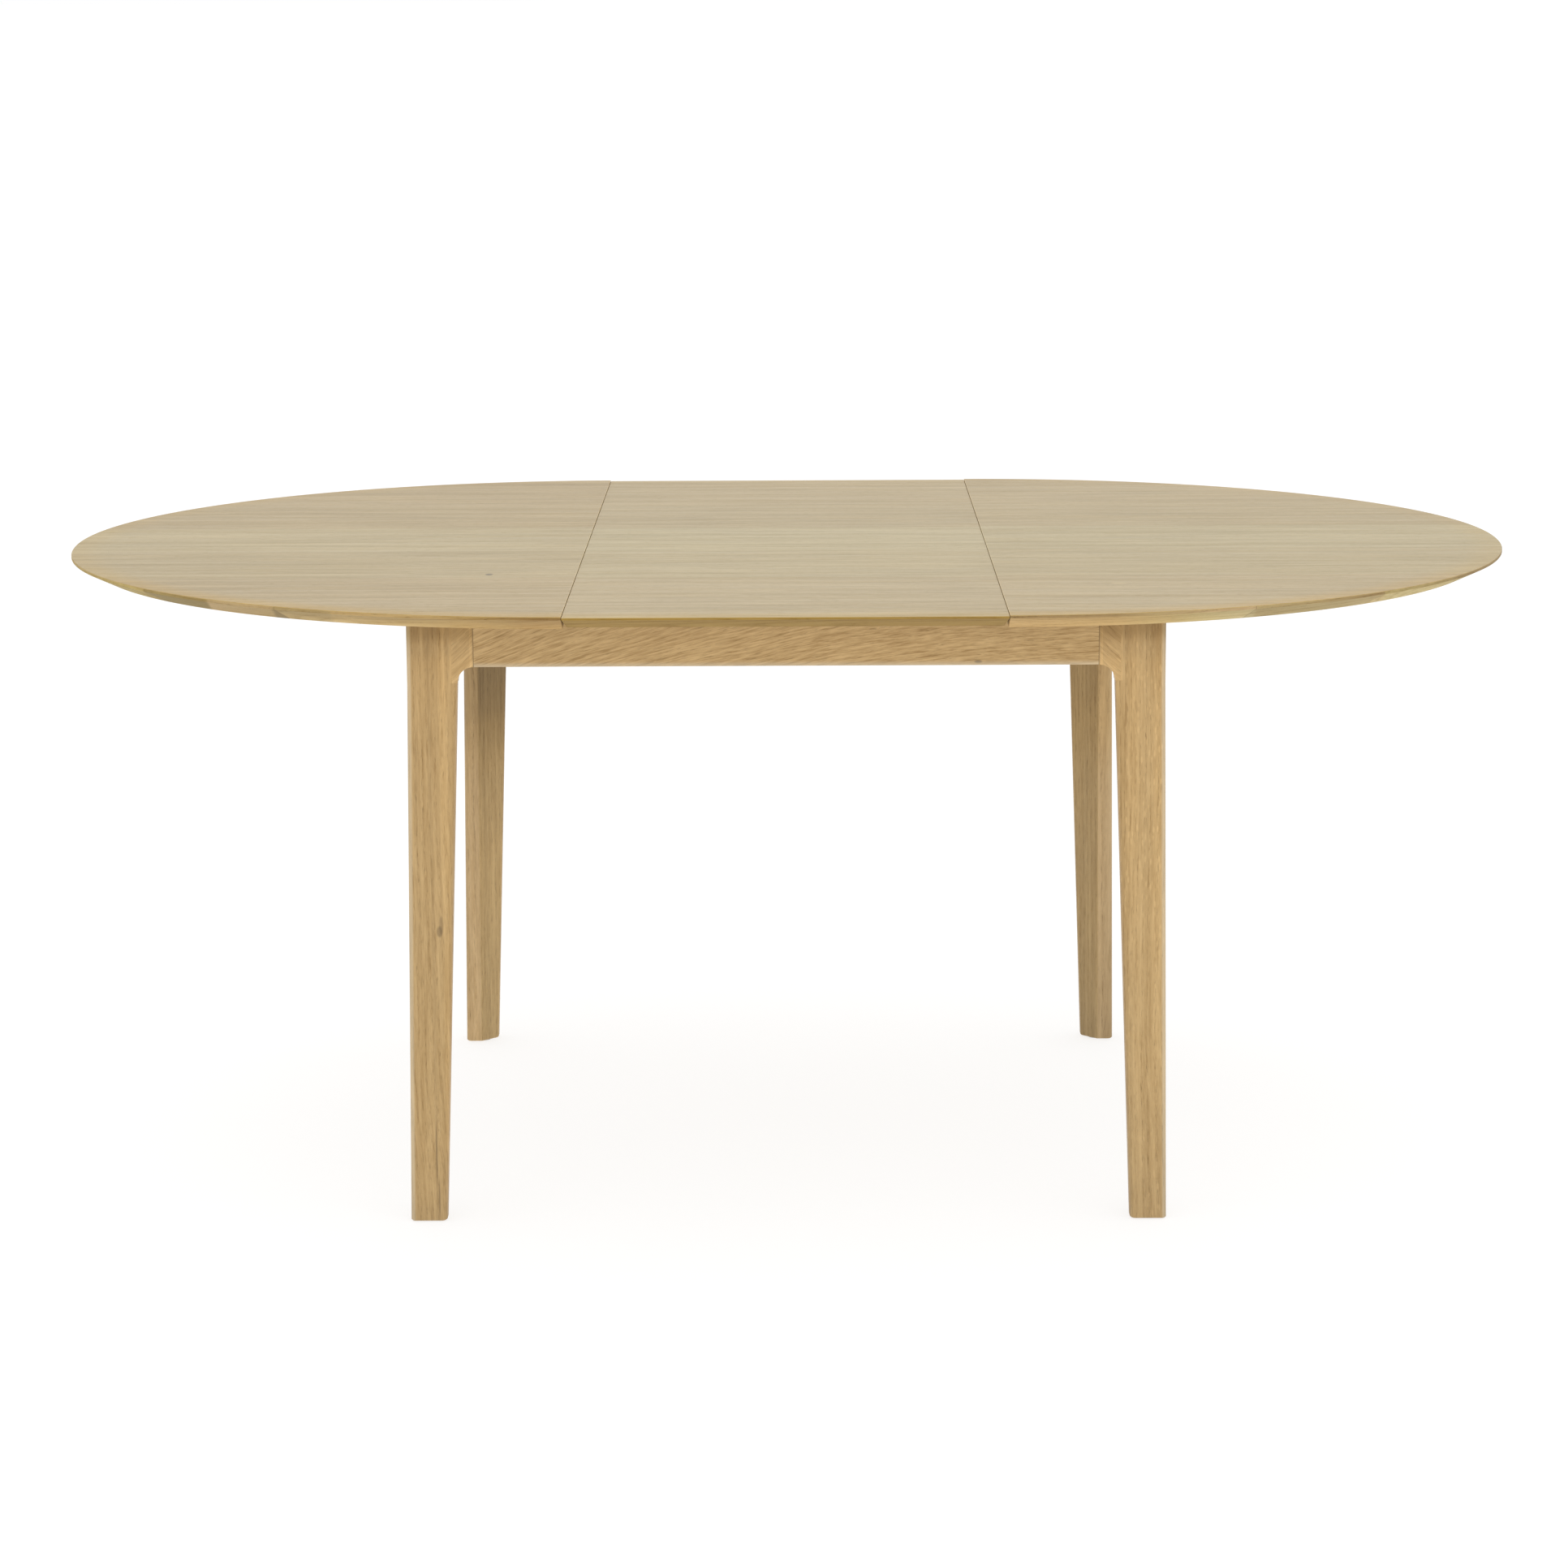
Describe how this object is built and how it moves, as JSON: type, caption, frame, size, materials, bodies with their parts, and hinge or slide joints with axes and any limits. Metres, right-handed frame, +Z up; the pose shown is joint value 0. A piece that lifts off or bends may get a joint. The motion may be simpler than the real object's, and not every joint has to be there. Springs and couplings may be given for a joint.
{
  "type": "extending dining table",
  "caption": "Oval extending dining table: half-round tops slide apart on runners that are geared together, a loose leaf lies between them, on a square base with tapered legs.",
  "frame": {"origin": "on the floor under the middle of the table", "axes": "+X along the table's length towards the right half, +Y to the rear, +Z up; shown extended with the leaf in place"},
  "size_m": [1.79, 1.29, 0.758],
  "materials": {
    "oak_veneer": "matt lacquered oak veneer",
    "oak_edge": "matt lacquered solid oak",
    "oak_frame": "matt lacquered solid oak, golden",
    "slide_wood": "waxed beech",
    "steel": "zinc plated",
    "gear_steel": "machined, lightly oiled",
    "nylon": "moulded nylon",
    "felt": "pressed felt",
    "glide": "moulded plastic"
  },
  "bodies": {
    "base": {"apron_front": "oak_frame", "apron_left": "oak_frame", "apron_rear": "oak_frame", "apron_right": "oak_frame", "axle_washers": "gear_steel", "base_screws": "steel", "bearer_brackets": "steel", "bolt_nuts_and_washers": "steel", "corner_block_front_left": "slide_wood", "corner_block_front_right": "slide_wood", "corner_block_rear_left": "slide_wood", "corner_block_rear_right": "slide_wood", "cross_bearer_left": "slide_wood", "cross_bearer_right": "slide_wood", "felt_pads": "felt", "foot_glides": "glide", "guide_rail_front": "slide_wood", "guide_rail_rear": "slide_wood", "hanger_bolts": "steel", "leg_front_left": "oak_frame", "leg_front_right": "oak_frame", "leg_rear_left": "oak_frame", "leg_rear_right": "oak_frame", "mechanism_board": "slide_wood", "mechanism_plate": "steel", "pinion_axle": "gear_steel", "rack_guides": "nylon", "slide_pads": "nylon"},
    "left_half": {"edge_left_1": "oak_edge", "edge_left_2": "oak_edge", "edge_left_3": "oak_edge", "edge_left_4": "oak_edge", "edge_left_5": "oak_edge", "rack_block_left": "slide_wood", "rack_left": "gear_steel", "runner_left_front": "slide_wood", "runner_left_rear": "slide_wood", "seam_plates_left": "steel", "stop_blocks_left": "slide_wood", "top_left": "oak_veneer", "top_screws_left": "steel"},
    "right_half": {"edge_right_1": "oak_edge", "edge_right_2": "oak_edge", "edge_right_3": "oak_edge", "edge_right_4": "oak_edge", "edge_right_5": "oak_edge", "rack_block_right": "slide_wood", "rack_right": "gear_steel", "runner_right_front": "slide_wood", "runner_right_rear": "slide_wood", "seam_plates_right": "steel", "stop_blocks_right": "slide_wood", "top_right": "oak_veneer", "top_screws_right": "steel"},
    "leaf": {"cleat_screws": "steel", "leaf": "oak_veneer", "leaf_cleats": "slide_wood", "leaf_edge_front": "oak_edge", "leaf_edge_rear": "oak_edge"},
    "pinion": {"pinion": "gear_steel"}
  },
  "joints": [
    {"name": "left_half_slide", "type": "slide", "parent": "base", "child": "left_half", "axis": [1, 0, 0], "range_m": [0, 0.25]},
    {"name": "right_half_slide", "type": "slide", "parent": "base", "child": "right_half", "axis": [-1, 0, 0], "range_m": [0, 0.25]},
    {"name": "leaf_lift", "type": "slide", "parent": "base", "child": "leaf", "axis": [0, 0, 1], "range_m": [0, 1]},
    {"name": "pinion_spin", "type": "hinge", "parent": "base", "child": "pinion", "pos_m": [0, 0, 0.732], "axis": [0, 0, 1], "range_deg": [0, 716.2]}
  ],
  "couplings": [
    {"joint": "right_half_slide", "follows": "left_half_slide", "ratio": 1},
    {"joint": "leaf_lift", "follows": "left_half_slide", "ratio": 4},
    {"joint": "pinion_spin", "follows": "left_half_slide", "rad_per_m": 50}
  ]
}
